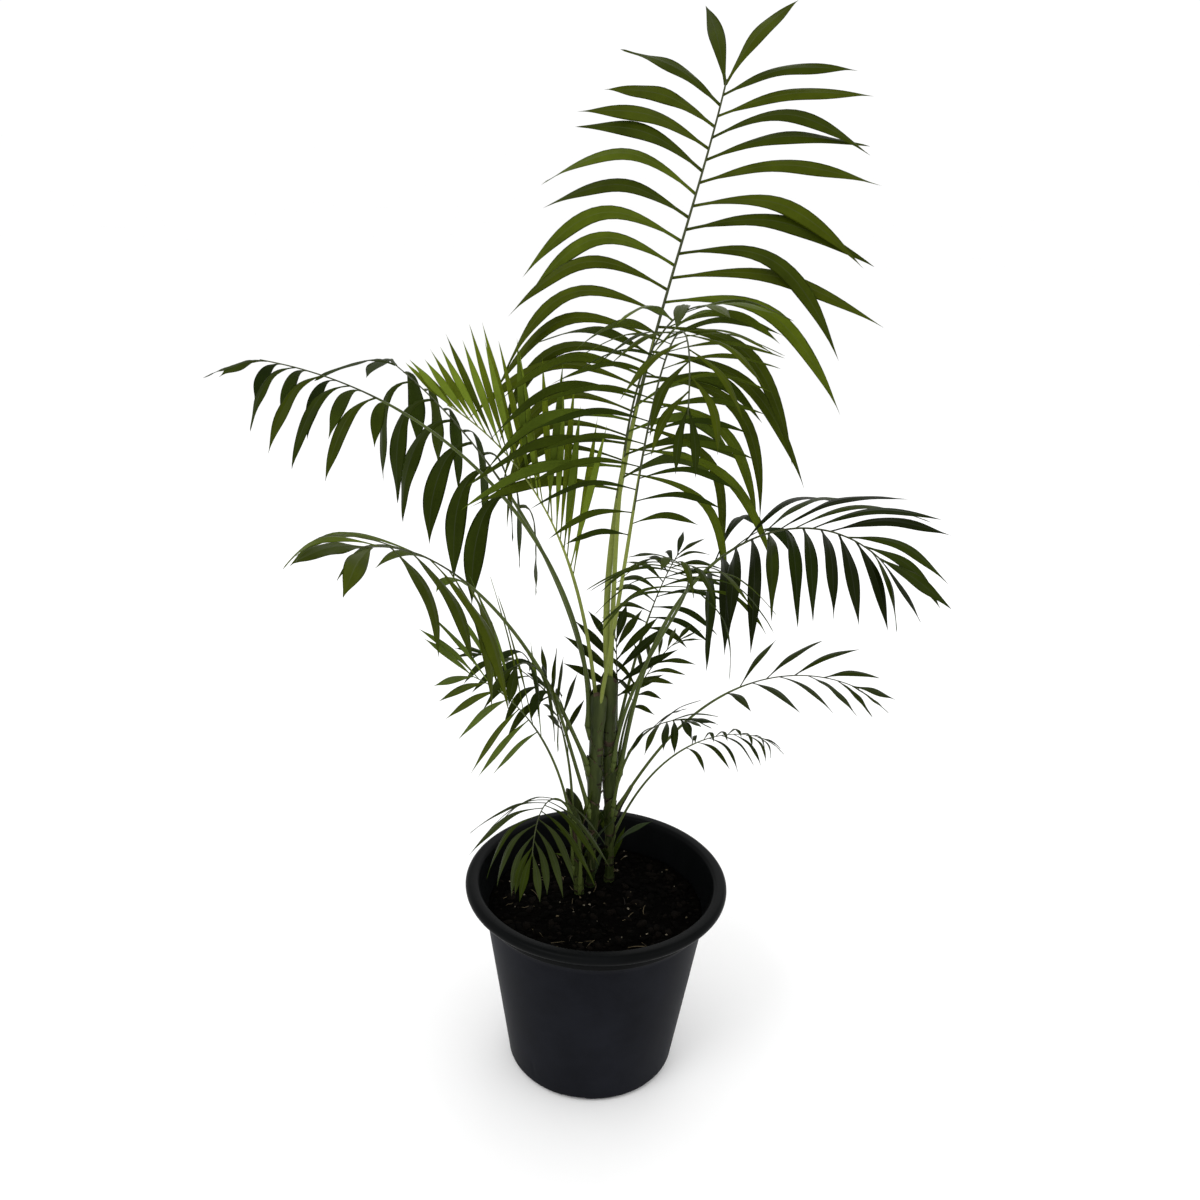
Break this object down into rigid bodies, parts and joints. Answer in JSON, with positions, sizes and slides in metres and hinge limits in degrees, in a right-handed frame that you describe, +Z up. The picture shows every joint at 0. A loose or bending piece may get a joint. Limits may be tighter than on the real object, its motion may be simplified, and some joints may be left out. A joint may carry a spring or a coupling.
{
  "type": "potted parlour palm",
  "caption": "Parlour palm with slender canes and arching feather fronds of pointed leaflets, in a tapered black pot with a broad rolled rim.",
  "frame": {"origin": "centre of the pot's flat underside", "axes": "+Z up, the plant's growing direction; +X to the right and -Y towards the camera in the picture"},
  "size_m": [0.7532, 0.6304, 1.1796],
  "materials": {
    "pot_plastic": "satin black with a bluish sheen",
    "potting_mix": "dark crumbly bark mix",
    "cane": "green sheathed cane with brown rings",
    "dry_stub": "dry brown",
    "petiole": "smooth light green",
    "leaf": "satin mid green leaf",
    "leaf_dark": "satin dark green leaf",
    "leaf_bright": "satin bright young green leaf"
  },
  "bodies": {
    "root": {"pot": "pot_plastic", "soil": "potting_mix", "cane_left": "cane", "cane_middle": "cane", "cane_right": "cane", "cut_stub": "dry_stub", "petiole_tall": "petiole", "frond_tall": "leaf", "petiole_front_high": "petiole", "frond_front_high": "leaf", "petiole_bright_upright": "petiole", "frond_bright_upright": "leaf_bright", "petiole_left_far": "petiole", "frond_left_far": "leaf_dark", "petiole_left_back": "petiole", "frond_left_back": "leaf_dark", "petiole_left_front_high": "petiole", "frond_left_front_high": "leaf_bright", "petiole_left_front_low": "petiole", "frond_left_front_low": "leaf_dark", "petiole_right_large": "petiole", "frond_right_large": "leaf_dark", "petiole_right_front": "petiole", "frond_right_front": "leaf_dark", "petiole_back": "petiole", "frond_back": "leaf_dark", "petiole_front_tall": "petiole", "frond_front_tall": "leaf", "petiole_right_low": "petiole", "frond_right_low": "leaf", "petiole_right_small": "petiole", "frond_right_small": "leaf", "petiole_left_low": "petiole", "frond_left_low": "leaf_bright", "petiole_front_low": "petiole", "frond_front_low": "leaf_dark", "petiole_short_upright": "petiole", "frond_short_upright": "leaf_dark", "petiole_left_inner": "petiole", "frond_left_inner": "leaf_dark", "petiole_right_inner": "petiole", "frond_right_inner": "leaf_dark", "petiole_right_thin": "petiole", "frond_right_thin": "leaf", "petiole_right_near": "petiole", "frond_right_near": "leaf_dark"}
  },
  "joints": []
}
